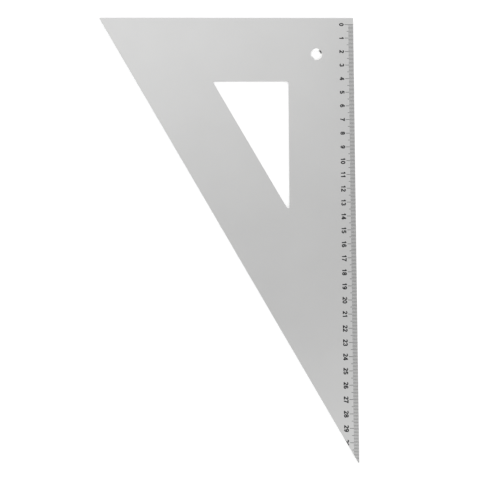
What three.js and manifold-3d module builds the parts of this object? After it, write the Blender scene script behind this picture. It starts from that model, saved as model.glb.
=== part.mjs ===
// Drafting triangle, 30 / 60 / 90 degrees: one sheet of satin anodised aluminium with a triangular
// window, a hole to hang it by, and a centimetre scale engraved along its long leg and filled with paint.
//
// Millimetres, +Z up. The plate lies flat with its underside at Z = 0 and its scale facing up. The ruled
// long leg runs along Y on the +X side and the short leg along X on the +Y side. The origin is under the
// middle of the plate.
//
// The plate is drawn from its right-angled corner, which lies at X = 0, Y = 0, so all of it has negative
// X and Y. The group that holds the pieces then moves that corner away from the origin.

import * as THREE from 'three';
import { mergeGeometries, mergeVertices } from 'three/addons/utils/BufferGeometryUtils.js';
import Module from 'manifold-3d';

// Outline of the plate. Its corners are measured as if they were sharp.
const longLeg = 320;
const tipDegrees = 30;
const plateThickness = 2;
const cornerRadius = 0.2;
const edgeBreak = 0.15;

// Window. Each of its sides runs parallel to a side of the plate, with a border this wide between them.
const longBorder = 47.45;
const shortBorder = 46.75;
const slopingBorder = 47.75;
const windowCornerRadius = 1.1;

// Hanging hole, with a wide countersink in the scale's face and a light break on the underside
const holeDiameter = 6.4;
const sinkDiameter = 8.4;
const sinkDegrees = 120;
const holeBreak = 0.3;
const holeFromLongLeg = 27.1;
const holeFromShortLeg = 27.1;

// Scale, engraved from the edge of the long leg inwards
const scaleStart = 5;
const linePitch = 1;
const lineWidth = 0.3;
const lineDepth = 0.1;
const millimetreLine = 3.65;
const halfCentimetreLine = 4.85;
const centimetreLine = 6.35;
const shortestLine = 1;
const linesPerHalf = 5;
const linesPerCentimetre = 10;

// Paint in the engraved lines, level with a plane just under the face
const paintRecess = 0.02;

// Every cut runs this far past the faces that it opens.
const overrun = 1;

// Segments of each rounded corner and of the hanging hole
const cornerSegments = 3;
const holeSegments = 48;

const tipAngle = THREE.MathUtils.degToRad( tipDegrees );
const sinkAngle = THREE.MathUtils.degToRad( sinkDegrees );

const wasm = await Module();
wasm.setup();

const anodisedAluminium = new THREE.MeshStandardMaterial( {
	name: 'anodised_aluminium',
	color: 0xc6c8c8,
	roughness: 0.42,
	metalness: 1,
	flatShading: true
} );

const scalePaint = new THREE.MeshStandardMaterial( {
	name: 'scale_paint',
	color: 0x16171a,
	roughness: 0.6,
	metalness: 0,
	flatShading: true
} );

// A closed geometry as a solid that can be cut
function toSolid( geometry ) {

	geometry.deleteAttribute( 'normal' );
	geometry.deleteAttribute( 'uv' );
	const closed = mergeVertices( geometry );
	return new wasm.Manifold( new wasm.Mesh( {
		numProp: 3,
		vertProperties: new Float32Array( closed.getAttribute( 'position' ).array ),
		triVerts: new Uint32Array( closed.getIndex().array )
	} ) );

}

function toMesh( solid, name, material ) {

	const { vertProperties, triVerts } = solid.getMesh();
	const geometry = new THREE.BufferGeometry();
	geometry.setAttribute( 'position', new THREE.BufferAttribute( vertProperties, 3 ) );
	geometry.setIndex( new THREE.BufferAttribute( triVerts, 1 ) );
	geometry.computeVertexNormals();

	const mesh = new THREE.Mesh( geometry, material );
	mesh.name = name;
	return mesh;

}

// How far the plate reaches from its long leg, at a given distance from its short leg
function reachAt( distance ) {

	return ( longLeg - distance ) * Math.tan( tipAngle );

}

// An outline through corners in counter-clockwise order, each rounded to the same radius
function drawRounded( path, corners, radius ) {

	corners.forEach( ( corner, i ) => {

		const arriving = corner.clone().sub( corners.at( i - 1 ) ).normalize();
		const leaving = corners[ ( i + 1 ) % corners.length ].clone().sub( corner ).normalize();
		const turn = Math.acos( arriving.dot( leaving ) );
		const start = corner.clone().addScaledVector( arriving, - radius * Math.tan( turn / 2 ) );
		const startAngle = arriving.angle() - Math.PI / 2;
		path.absarc(
			start.x - radius * Math.cos( startAngle ),
			start.y - radius * Math.sin( startAngle ),
			radius, startAngle, startAngle + turn, false
		);

	} );
	path.closePath();
	return path;

}

// The blank is the plate before it is engraved: the triangle with its window and its hanging hole.
function makeBlank() {

	const corners = [
		new THREE.Vector2( 0, 0 ),
		new THREE.Vector2( - reachAt( 0 ), 0 ),
		new THREE.Vector2( 0, - longLeg )
	];

	// The border along the sloping side, measured parallel to the short leg
	const slopingReach = slopingBorder / Math.cos( tipAngle );
	const windowTip = longLeg - ( longBorder + slopingReach ) / Math.tan( tipAngle );
	const windowCorners = [
		new THREE.Vector2( - longBorder, - shortBorder ),
		new THREE.Vector2( slopingReach - reachAt( shortBorder ), - shortBorder ),
		new THREE.Vector2( - longBorder, - windowTip )
	];

	const outline = drawRounded( new THREE.Shape(), corners, cornerRadius );
	outline.holes.push( drawRounded( new THREE.Path(), windowCorners, windowCornerRadius ) );

	const sheet = new THREE.ExtrudeGeometry( outline, {
		depth: plateThickness - edgeBreak * 2,
		bevelThickness: edgeBreak,
		bevelSize: edgeBreak,
		bevelOffset: - edgeBreak,
		bevelSegments: 1,
		curveSegments: cornerSegments
	} ).translate( 0, 0, edgeBreak );

	return toSolid( sheet ).subtract( makeHoleCutter() );

}

// The drill, the countersink and the break in one turned form, standing on the hole's axis
function makeHoleCutter() {

	const radius = holeDiameter / 2;
	const sinkRadius = sinkDiameter / 2;
	const sinkSpread = Math.tan( sinkAngle / 2 );
	const sinkDepth = ( sinkRadius - radius ) / sinkSpread;
	const profile = [
		new THREE.Vector2( 0, - overrun ),
		new THREE.Vector2( radius + holeBreak + overrun, - overrun ),
		new THREE.Vector2( radius, holeBreak ),
		new THREE.Vector2( radius, plateThickness - sinkDepth ),
		new THREE.Vector2( sinkRadius + overrun * sinkSpread, plateThickness + overrun ),
		new THREE.Vector2( 0, plateThickness + overrun )
	];
	const turned = new THREE.LatheGeometry( profile, holeSegments )
		.rotateX( Math.PI / 2 )
		.translate( - holeFromLongLeg, - holeFromShortLeg, 0 );
	return toSolid( turned );

}

// The scale's lines, from the zero line to the last one that the tip has room for
function listLines() {

	const lastPlace = longLeg - shortestLine / Math.tan( tipAngle );
	const lines = [];

	for ( let index = 0; scaleStart + index * linePitch <= lastPlace; index ++ ) {

		let length = millimetreLine;
		if ( index % linesPerHalf === 0 ) length = halfCentimetreLine;
		if ( index % linesPerCentimetre === 0 ) length = centimetreLine;
		lines.push( { index, length, y: - ( scaleStart + index * linePitch ) } );

	}

	return lines;

}

// A bar as wide as a line, from the floor of the engraving up to the given height
function makeLineBar( line, top ) {

	const bottom = plateThickness - lineDepth;
	return new THREE.BoxGeometry( line.length + overrun, lineWidth, top - bottom )
		.translate( ( overrun - line.length ) / 2, line.y, ( top + bottom ) / 2 );

}

function engrave( blank, lines ) {

	const bars = lines.map( line => makeLineBar( line, plateThickness + overrun ) );
	return blank.subtract( toSolid( mergeGeometries( bars ) ) );

}

// Paint lies where the line's bar and the blank share space, so it ends flush with the plate's edges.
function makePaint( blank, line ) {

	return blank.intersect( toSolid( makeLineBar( line, plateThickness - paintRecess ) ) );

}

const triangle = new THREE.Group();
const blank = makeBlank();
const lines = listLines();

triangle.add( toMesh( engrave( blank, lines ), 'plate', anodisedAluminium ) );

for ( const line of lines.filter( line => line.index % linesPerCentimetre === 0 ) ) {

	const centimetre = String( line.index / linesPerCentimetre ).padStart( 2, '0' );
	triangle.add( toMesh( makePaint( blank, line ), `centimetre_line_${ centimetre }`, scalePaint ) );

}

const middle = new THREE.Box3().setFromObject( triangle ).getCenter( new THREE.Vector3() );
triangle.position.set( - middle.x, - middle.y, 0 );

export default triangle;
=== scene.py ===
"""Looks of the aluminium drafting triangle: its finish, the paint of its scale and its numerals.

Metres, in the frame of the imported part: the plate lies on Z = 0, the ruled long leg runs along Y on the
+X side, and the short leg runs along X on the +Y side.
"""

import math

import bpy
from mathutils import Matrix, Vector
from mathutils.geometry import delaunay_2d_cdt


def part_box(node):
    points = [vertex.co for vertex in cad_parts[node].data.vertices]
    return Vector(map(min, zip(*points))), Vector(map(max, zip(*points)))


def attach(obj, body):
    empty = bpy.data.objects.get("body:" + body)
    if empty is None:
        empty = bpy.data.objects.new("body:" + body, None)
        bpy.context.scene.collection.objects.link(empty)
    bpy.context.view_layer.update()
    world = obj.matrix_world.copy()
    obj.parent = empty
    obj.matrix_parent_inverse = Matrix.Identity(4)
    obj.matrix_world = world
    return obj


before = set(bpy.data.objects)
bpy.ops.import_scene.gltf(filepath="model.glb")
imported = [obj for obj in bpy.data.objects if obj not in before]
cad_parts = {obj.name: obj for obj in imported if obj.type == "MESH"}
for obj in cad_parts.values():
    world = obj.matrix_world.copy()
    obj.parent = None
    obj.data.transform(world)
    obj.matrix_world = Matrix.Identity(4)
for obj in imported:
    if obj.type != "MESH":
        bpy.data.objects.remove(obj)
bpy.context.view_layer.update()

MM = 0.001

# The plate, read from the frame, and those of its sizes that its box doesn't give
PLATE_LOW, PLATE_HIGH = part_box("plate")
RULED_EDGE = PLATE_HIGH.x
SHORT_EDGE = PLATE_HIGH.y
PLATE_BOTTOM = PLATE_LOW.z
PLATE_TOP = PLATE_HIGH.z
LONG_LEG = 320 * MM
TIP_ANGLE = math.radians(30)
EDGE_BREAK = 0.15 * MM

# The hanging hole, as far from both legs. Its turned surfaces lie inside its countersink's mouth, from a
# margin above the underside to a margin below the face, and carry fine rings.
HOLE_INSET = 27.1 * MM
HOLE_X = RULED_EDGE - HOLE_INSET
HOLE_Y = SHORT_EDGE - HOLE_INSET
SINK_RADIUS = 4.2 * MM
TURNED_MARGIN = 0.002 * MM
RING_PITCH = 0.08 * MM

# The scale's lines. The numbered ones are in the frame and give the places of the rest.
ZERO_LOW, ZERO_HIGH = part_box("centimetre_line_00")
ONE_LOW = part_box("centimetre_line_01")[0]
LINES_PER_CENTIMETRE = 10
LINES_PER_HALF = 5
LINE_PITCH = (ZERO_LOW.y - ONE_LOW.y) / LINES_PER_CENTIMETRE
LINE_WIDTH = ZERO_HIGH.y - ZERO_LOW.y
ZERO_Y = (ZERO_HIGH.y + ZERO_LOW.y) / 2
PAINT_LOW = ZERO_LOW.z
PAINT_HIGH = ZERO_HIGH.z
MILLIMETRE_LINE = 3.65 * MM
HALF_LINE = 4.85 * MM
SHORTEST_LINE = 1 * MM

# The numerals, whose tops point to the ruled edge. A pair of digits lies a little past its line, towards
# the tip, and a thin layer of the paint is sunk into the plate's face.
LAST_NUMERAL = 30
NUMERAL_TOP = 7.05 * MM
NUMERAL_HEIGHT = 3.3 * MM
NUMERAL_STROKE = 0.77 * MM
PAIR_SHIFT = 0.12 * MM
NUMERAL_RAISED = 0.02 * MM
NUMERAL_SUNK = 0.01 * MM

# Digits are drawn in shares of their height, from the baseline up and from their left side. Round ones
# reach a little past the baseline and the top, and the top of a 3 or an 8 is a little narrower.
DIGIT_SHARE = 0.705
PITCH_SHARE = 0.745
WAIST_SHARE = 0.53
OVERSHOOT_SHARE = 0.01
TOP_INSET_SHARE = 0.02
HALF_STROKE_SHARE = NUMERAL_STROKE / NUMERAL_HEIGHT / 2
ARC_STEP = 10
SAME_POINT = 1e-6

# Slabs are triangulated in millimetres, only inside their outlines, and points this close are merged.
INSIDE_ONLY = 1
MERGE_DISTANCE = 1e-5

# The blasted metal: two greys that its clouds drift between, its clouds and grains in a metre, how finely
# both are broken up, and its roughness at the grain's lowest and highest
DARK_CLOUD = (0.606, 0.606, 0.603, 1)
PALE_CLOUD = (0.649, 0.649, 0.646, 1)
CLOUDS_PER_METRE = 28.0
CLOUD_DETAIL = 3.0
GRAINS_PER_METRE = 4200.0
GRAIN_DETAIL = 2.0
BLASTED_ROUGHNESS = (0.40, 0.50)

# The turned metal of the hanging hole, and how high its rings stand beside the grain
BARE_METAL = (0.90, 0.90, 0.895, 1)
TURNED_ROUGHNESS = 0.10
TURNED_ANISOTROPY = 0.6
RING_SHARE = 0.3

# The relief of both
RELIEF_STRENGTH = 0.25
RELIEF_DEPTH = 0.01 * MM

# The paint
DARK_PAINT = (0.006, 0.006, 0.007, 1)
PALE_PAINT = (0.014, 0.014, 0.016, 1)
PAINT_GRAINS_PER_METRE = 6000.0
PAINT_ROUGHNESS = 0.55
PAINT_SPECULAR = 0.2

# The floor: the share of the light that it scatters, and the glow that makes it read white where it is seen
FLOOR_SIDE = 3.0
FLOOR_COLOUR = (0.8, 0.8, 0.8, 1)
FLOOR_GLOW = 0.36

# The camera, from a fit to the plate's sides and the lines of the scale
IMAGE_SIDE = 480
FOCAL_PIXELS = 852.5
SENSOR_WIDTH = 36.0
CAMERA_PLACE = (0.70 * MM, -47.31 * MM, 608.26 * MM)
CAMERA_TURN = (4.248, -0.789, -0.221)

# The room is white but for soft dark patches. Each has its azimuth, its elevation, the angles from its
# middle at which it starts to fade and ends, all in degrees, and the light that it takes away.
ROOM_COLOUR = (1, 1, 1, 1)
ROOM_STRENGTH = 1.0
PATCHES = (
    (199, 43, 10, 26, 0.9),
    (54, 28, 8, 22, 0.6),
    (60, 85, 3, 30, 0.75),
)

# The softboxes, as far from the plate: for each its name, its azimuth, its angle from the zenith, its side
# and its watts
SOFTBOX_DISTANCE = 1.5
SOFTBOXES = (
    ("softbox_upper_left", 110, 28, 1.1, 2.7),
    ("softbox_lower", 290, 40, 1.2, 3.1),
)


def arc(centre_x, centre_y, radius_x, radius_y, start, end):
    """Points on part of an ellipse, from one angle to another in degrees."""
    steps = round(abs(end - start) / ARC_STEP)
    angles = [math.radians(start + (end - start) * i / steps) for i in range(steps + 1)]
    return [(centre_x + radius_x * math.cos(a), centre_y + radius_y * math.sin(a)) for a in angles]


def stacked_arcs(middle, top_span, bottom_span):
    """Two arcs, one on top of the other, that share one stroke at the digit's waist."""
    edge = HALF_STROKE_SHARE
    top_height = (1 + OVERSHOOT_SHARE - edge - WAIST_SHARE) / 2
    bottom_height = (WAIST_SHARE + OVERSHOOT_SHARE - edge) / 2
    return [
        arc(middle, WAIST_SHARE + top_height, middle - TOP_INSET_SHARE - edge, top_height, *top_span),
        arc(middle, WAIST_SHARE - bottom_height, middle - edge, bottom_height, *bottom_span),
    ]


def digit_strokes(digit):
    """The centre lines of one digit's strokes, in shares of its height."""
    edge = HALF_STROKE_SHARE
    right = DIGIT_SHARE
    middle = DIGIT_SHARE / 2
    if digit == "0":
        return [arc(middle, 0.5, middle - edge, 0.5 + OVERSHOOT_SHARE - edge, 0, 360)]
    if digit == "1":
        return [[(0.41, 0), (0.41, 1)], [(0.16, 0.70), (0.30, 0.77), (0.41, 0.93)]]
    if digit == "2":
        hook = arc(middle, 0.71, middle - edge, 0.30 - edge, 172, -8)
        return [hook + [(0.09 + edge / 2, edge)], [(0.02, edge), (right - 0.01, edge)]]
    if digit == "3":
        return stacked_arcs(middle, (175, -90), (90, -175))
    if digit == "4":
        stem = 0.70 * right
        slope = [(stem - 0.05, 0.93), (0.08, 0.31)]
        return [[(stem, 0), (stem, 1)], slope, [(0, 0.30), (right + 0.02, 0.30)]]
    if digit == "5":
        bowl = arc(middle, 0.325, middle - edge, 0.335 - edge, 140, -165)
        back = [(right - 0.07, 1 - edge), (0.19, 1 - edge), (0.13, 0.48)]
        return [back, bowl]
    if digit in "69":
        bowl = arc(middle, 0.32, middle - edge, 0.33 - edge, 0, 360)
        back = arc(middle + 0.01, 0.50, middle + 0.01 - edge, 0.51 - edge, 205, 38)
        if digit == "6":
            return [bowl, back]
        return [[(right - x, 1 - y) for x, y in stroke] for stroke in (bowl, back)]
    if digit == "7":
        bar = [(0.01, 1 - edge), (right - 0.02, 1 - edge)]
        return [bar, [(right - 0.07, 0.95), (0.40, 0.60), (0.24, 0)]]
    return stacked_arcs(middle, (0, 360), (0, 360))


def ribbon(points, half_width):
    """Quads along a line of points, mitred where it bends."""
    line = [Vector(p) for p in points]
    closed = (line[0] - line[-1]).length < SAME_POINT
    sides = []
    for i, point in enumerate(line):
        before = line[i - 1] if i else (line[-2] if closed else None)
        after = line[i + 1] if i + 1 < len(line) else (line[1] if closed else None)
        directions = []
        if before is not None:
            directions.append((point - before).normalized())
        if after is not None:
            directions.append((after - point).normalized())
        along = sum(directions, Vector((0, 0))).normalized()
        reach = half_width / along.dot(directions[0])
        across = Vector((-along.y, along.x)) * reach
        sides.append((point + across, point - across))
    return [(a[0], a[1], b[1], b[0]) for a, b in zip(sides, sides[1:])]


def clip_to_plate(polygon):
    """The part of a polygon on the plate's flat top, inside its ruled and its sloping side."""
    corner = Vector((RULED_EDGE, SHORT_EDGE))
    slope_normal = Vector((math.cos(TIP_ANGLE), math.sin(TIP_ANGLE)))
    tip = corner - Vector((0, LONG_LEG))
    limits = [
        (Vector((-1, 0)), corner - Vector((EDGE_BREAK, 0))),
        (slope_normal, tip + slope_normal * EDGE_BREAK),
    ]
    for normal, place in limits:
        kept = []
        for i, end in enumerate(polygon):
            start = polygon[i - 1]
            start_depth = normal.dot(start - place)
            end_depth = normal.dot(end - place)
            if (start_depth < 0) != (end_depth < 0):
                kept.append(start.lerp(end, start_depth / (start_depth - end_depth)))
            if end_depth >= 0:
                kept.append(end)
        polygon = kept
        if len(polygon) < 3:
            return []
    return polygon


def slab(name, polygons, low, high):
    """One closed solid from overlapping polygons, between two heights."""
    points, faces = [], []
    for polygon in polygons:
        faces.append(list(range(len(points), len(points) + len(polygon))))
        points += [p / MM for p in polygon]
    flat, _, triangles, _, _, covering = delaunay_2d_cdt(points, [], faces, INSIDE_ONLY, MERGE_DISTANCE)

    # A triangle that no polygon covers lies in an opening, such as the middle of a 0.
    upward = []
    for (a, b, c), polygons_over in zip(triangles, covering):
        if not polygons_over:
            continue
        faces_up = (flat[b] - flat[a]).cross(flat[c] - flat[a]) > 0
        upward.append((a, b, c) if faces_up else (a, c, b))

    edges = {(t[i], t[(i + 1) % 3]) for t in upward for i in range(3)}
    rim = sorted((a, b) for a, b in edges if (b, a) not in edges)
    count = len(flat)
    vertices = [(p.x * MM, p.y * MM, z) for z in (low, high) for p in flat]
    top = [tuple(i + count for i in t) for t in upward]
    bottom = [t[::-1] for t in upward]
    walls = [(a, b, b + count, a + count) for a, b in rim]
    mesh = bpy.data.meshes.new(name)
    mesh.from_pydata(vertices, [], top + bottom + walls)
    mesh.validate()
    piece = bpy.data.objects.new(name, mesh)
    bpy.context.scene.collection.objects.link(piece)
    return piece


def dress(piece, material):
    """A finished piece of the plate: it rides on the root body and takes its finish from a slot."""
    piece.data.materials.append(material)
    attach(piece, "root")


def line_quad(index, length):
    """The outline of one line's paint, cut off by the plate's sides."""
    y = ZERO_Y - index * LINE_PITCH
    half = LINE_WIDTH / 2
    left, right = RULED_EDGE - length, RULED_EDGE
    corners = [(left, y - half), (right, y - half), (right, y + half), (left, y + half)]
    return clip_to_plate([Vector(c) for c in corners])


def make_line_paint(material):
    """The paint in the millimetre and the half-centimetre lines."""
    last_y = SHORT_EDGE - LONG_LEG + SHORTEST_LINE / math.tan(TIP_ANGLE)
    count = math.floor((ZERO_Y - last_y) / LINE_PITCH) + 1
    halves = [i for i in range(count) if i % LINES_PER_CENTIMETRE == LINES_PER_HALF]
    millimetres = [i for i in range(count) if i % LINES_PER_HALF]
    for name, group, length in (
        ("half_centimetre_paint", halves, HALF_LINE),
        ("millimetre_paint", millimetres, MILLIMETRE_LINE),
    ):
        quads = [line_quad(i, length) for i in group]
        piece = slab(name, quads, PAINT_LOW, PAINT_HIGH)
        dress(piece, material)


def numeral_quads(number):
    """The strokes of one number as quads on the plate, beside its line and read towards the tip."""
    text = str(number)
    baseline = RULED_EDGE - NUMERAL_TOP - NUMERAL_HEIGHT
    line_y = ZERO_Y - number * LINES_PER_CENTIMETRE * LINE_PITCH - PAIR_SHIFT * (len(text) - 1)
    start = -(PITCH_SHARE * (len(text) - 1) + DIGIT_SHARE) / 2
    quads = []
    for place, digit in enumerate(text):
        left = start + place * PITCH_SHARE
        for stroke in digit_strokes(digit):
            for quad in ribbon(stroke, HALF_STROKE_SHARE):
                corners = [
                    Vector((baseline + p.y * NUMERAL_HEIGHT, line_y - (left + p.x) * NUMERAL_HEIGHT))
                    for p in quad
                ]
                quads.append(clip_to_plate(corners))
    return [quad for quad in quads if quad]


def make_numerals(material):
    """The numbers of the scale, a thin layer of paint on the plate's face."""
    for number in range(LAST_NUMERAL + 1):
        low, high = PLATE_TOP - NUMERAL_SUNK, PLATE_TOP + NUMERAL_RAISED
        piece = slab(f"numeral_{number:02d}", numeral_quads(number), low, high)
        dress(piece, material)


def new_material(name):
    """A material with its nodes, their links and its Principled shader."""
    material = bpy.data.materials.new(name)
    material.use_nodes = True
    nodes = material.node_tree.nodes
    return material, nodes, material.node_tree.links, nodes["Principled BSDF"]


def fill(links, socket, value):
    """Give a socket a value, or link another node's output to it."""
    if isinstance(value, bpy.types.NodeSocket):
        links.new(value, socket)
    else:
        socket.default_value = value


def math_node(nodes, links, operation, *values):
    """One sum of numbers, each written or another node's output."""
    node = nodes.new("ShaderNodeMath")
    node.operation = operation
    for socket, value in zip(node.inputs, values):
        fill(links, socket, value)
    return node.outputs[0]


def vector_node(nodes, links, operation, *values):
    """One sum of vectors, each written or another node's output."""
    node = nodes.new("ShaderNodeVectorMath")
    node.operation = operation
    for socket, value in zip(node.inputs, values):
        fill(links, socket, value)
    return node


def mix_node(nodes, links, kind, factor, first, second):
    """A blend of two colours or two numbers."""
    node = nodes.new("ShaderNodeMix")
    node.data_type = kind
    for name, value in (("Factor", factor), ("A", first), ("B", second)):
        fill(links, node.inputs[name], value)
    return node.outputs["Result"]


def range_node(nodes, links, value, from_range, to_range):
    """A number moved from one range to another, and held inside it."""
    node = nodes.new("ShaderNodeMapRange")
    names = ("Value", "From Min", "From Max", "To Min", "To Max")
    for name, setting in zip(names, (value, *from_range, *to_range)):
        fill(links, node.inputs[name], setting)
    return node.outputs["Result"]


def noise_node(nodes, links, place, scale, detail):
    """Noise from 0 to 1, fixed to the object."""
    node = nodes.new("ShaderNodeTexNoise")
    for name, value in (("Vector", place), ("Scale", scale), ("Detail", detail)):
        fill(links, node.inputs[name], value)
    return node.outputs["Fac"]


def make_aluminium():
    """Satin anodised sheet: an even blasted grey with faint clouds in it, and turned where it is drilled."""
    material, nodes, links, shader = new_material("anodised_aluminium")
    place = nodes.new("ShaderNodeTexCoord").outputs["Object"]
    clouds = noise_node(nodes, links, place, CLOUDS_PER_METRE, CLOUD_DETAIL)
    grain = noise_node(nodes, links, place, GRAINS_PER_METRE, GRAIN_DETAIL)

    # How far a point lies from the hole's axis, and whether it lies on the countersink or in the bore
    arm = vector_node(nodes, links, "SUBTRACT", place, (HOLE_X, HOLE_Y, 0)).outputs["Vector"]
    flat_arm = vector_node(nodes, links, "MULTIPLY", arm, (1, 1, 0)).outputs["Vector"]
    distance = vector_node(nodes, links, "LENGTH", flat_arm).outputs["Value"]
    parts = nodes.new("ShaderNodeSeparateXYZ")
    links.new(arm, parts.inputs[0])
    height = parts.outputs["Z"]
    near = math_node(nodes, links, "LESS_THAN", distance, SINK_RADIUS)
    below = math_node(nodes, links, "LESS_THAN", height, PLATE_TOP - TURNED_MARGIN)
    above = math_node(nodes, links, "GREATER_THAN", height, PLATE_BOTTOM + TURNED_MARGIN)
    between = math_node(nodes, links, "MULTIPLY", below, above)
    turned = math_node(nodes, links, "MULTIPLY", near, between)

    # The turned surfaces are bare metal, brighter and smoother than the blasted ones, and their rings spread
    # the light across them.
    greys = mix_node(nodes, links, "RGBA", clouds, DARK_CLOUD, PALE_CLOUD)
    colour = mix_node(nodes, links, "RGBA", turned, greys, BARE_METAL)
    blasted = range_node(nodes, links, grain, (0, 1), BLASTED_ROUGHNESS)
    roughness = mix_node(nodes, links, "FLOAT", turned, blasted, TURNED_ROUGHNESS)
    anisotropy = math_node(nodes, links, "MULTIPLY", turned, TURNED_ANISOTROPY)
    along_rings = vector_node(nodes, links, "CROSS_PRODUCT", (0, 0, 1), flat_arm).outputs["Vector"]
    tangent = vector_node(nodes, links, "NORMALIZE", along_rings).outputs["Vector"]

    rings = math_node(nodes, links, "MULTIPLY", distance, 2 * math.pi / RING_PITCH)
    rings = math_node(nodes, links, "SINE", rings)
    rings = math_node(nodes, links, "MULTIPLY", rings, turned)
    rings = math_node(nodes, links, "MULTIPLY", rings, RING_SHARE)
    bump = nodes.new("ShaderNodeBump")
    bump.inputs["Strength"].default_value = RELIEF_STRENGTH
    bump.inputs["Distance"].default_value = RELIEF_DEPTH
    links.new(math_node(nodes, links, "ADD", grain, rings), bump.inputs["Height"])

    shader.inputs["Metallic"].default_value = 1.0
    links.new(colour, shader.inputs["Base Color"])
    links.new(roughness, shader.inputs["Roughness"])
    links.new(anisotropy, shader.inputs["Anisotropic"])
    links.new(tangent, shader.inputs["Tangent"])
    links.new(bump.outputs["Normal"], shader.inputs["Normal"])
    return material


def make_paint():
    """Matt black paint, a little uneven in its colour."""
    material, nodes, links, shader = new_material("scale_paint")
    place = nodes.new("ShaderNodeTexCoord").outputs["Object"]
    grain = noise_node(nodes, links, place, PAINT_GRAINS_PER_METRE, GRAIN_DETAIL)
    links.new(mix_node(nodes, links, "RGBA", grain, DARK_PAINT, PALE_PAINT), shader.inputs["Base Color"])
    shader.inputs["Roughness"].default_value = PAINT_ROUGHNESS
    shader.inputs["Specular IOR Level"].default_value = PAINT_SPECULAR
    return material


def make_floor():
    """A white floor that keeps the plate's shadow."""
    half = FLOOR_SIDE / 2
    corners = [(-half, -half, 0), (half, -half, 0), (half, half, 0), (-half, half, 0)]
    mesh = bpy.data.meshes.new("floor")
    mesh.from_pydata(corners, [], [(0, 1, 2, 3)])
    floor = bpy.data.objects.new("floor", mesh)
    bpy.context.scene.collection.objects.link(floor)

    material = bpy.data.materials.new("floor")
    material.use_nodes = True
    nodes = material.node_tree.nodes
    links = material.node_tree.links
    nodes.clear()
    scattered = nodes.new("ShaderNodeBsdfDiffuse")
    scattered.inputs["Color"].default_value = FLOOR_COLOUR
    rays = nodes.new("ShaderNodeLightPath").outputs
    seen = math_node(nodes, links, "MAXIMUM", rays["Is Camera Ray"], rays["Is Glossy Ray"])
    seen = math_node(nodes, links, "MAXIMUM", seen, rays["Is Transmission Ray"])
    added = nodes.new("ShaderNodeEmission")
    links.new(math_node(nodes, links, "MULTIPLY", seen, FLOOR_GLOW), added.inputs["Strength"])
    both = nodes.new("ShaderNodeAddShader")
    links.new(scattered.outputs[0], both.inputs[0])
    links.new(added.outputs[0], both.inputs[1])
    output = nodes.new("ShaderNodeOutputMaterial")
    links.new(both.outputs[0], output.inputs["Surface"])
    mesh.materials.append(material)


def direction(azimuth, elevation):
    """The unit vector that points to a place in the room, from two angles in degrees."""
    turn, rise = math.radians(azimuth), math.radians(elevation)
    return Vector((math.cos(rise) * math.cos(turn), math.cos(rise) * math.sin(turn), math.sin(rise)))


def make_room():
    """A white room with soft dark patches, which the plate mirrors."""
    world = bpy.data.worlds.new("room")
    bpy.context.scene.world = world
    world.use_nodes = True
    nodes = world.node_tree.nodes
    links = world.node_tree.links
    place = nodes.new("ShaderNodeTexCoord").outputs["Generated"]
    light = ROOM_STRENGTH
    for azimuth, elevation, inner, outer, taken in PATCHES:
        middle = direction(azimuth, elevation)
        nearness = vector_node(nodes, links, "DOT_PRODUCT", place, middle).outputs["Value"]
        fade = (math.cos(math.radians(outer)), math.cos(math.radians(inner)))
        patch = range_node(nodes, links, nearness, fade, (0, taken))
        light = math_node(nodes, links, "SUBTRACT", light, patch)
    background = nodes["Background"]
    background.inputs["Color"].default_value = ROOM_COLOUR
    links.new(light, background.inputs["Strength"])


def make_softboxes():
    """Two soft lamps that brighten two of the plate's corners."""
    for name, azimuth, from_zenith, size, watts in SOFTBOXES:
        lamp = bpy.data.lights.new(name, "AREA")
        lamp.shape = "SQUARE"
        lamp.size = size
        lamp.energy = watts
        away = direction(azimuth, 90 - from_zenith)
        holder = bpy.data.objects.new(name, lamp)
        holder.location = away * SOFTBOX_DISTANCE
        holder.rotation_euler = away.to_track_quat("Z", "Y").to_euler()
        bpy.context.scene.collection.objects.link(holder)


def make_camera():
    """Almost straight above the plate, as the photograph was taken."""
    camera = bpy.data.cameras.new("camera")
    camera.sensor_fit = "HORIZONTAL"
    camera.sensor_width = SENSOR_WIDTH
    camera.lens = FOCAL_PIXELS / IMAGE_SIDE * SENSOR_WIDTH
    holder = bpy.data.objects.new("camera", camera)
    holder.location = CAMERA_PLACE
    holder.rotation_euler = [math.radians(a) for a in CAMERA_TURN]
    bpy.context.scene.collection.objects.link(holder)
    bpy.context.scene.camera = holder


make_camera()
make_room()
make_softboxes()
make_floor()

aluminium = make_aluminium()
paint = make_paint()
for name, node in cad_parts.items():
    node.data.materials.clear()
    node.data.materials.append(aluminium if name == "plate" else paint)
make_line_paint(paint)
make_numerals(paint)

bpy.context.scene.view_settings.view_transform = "Standard"
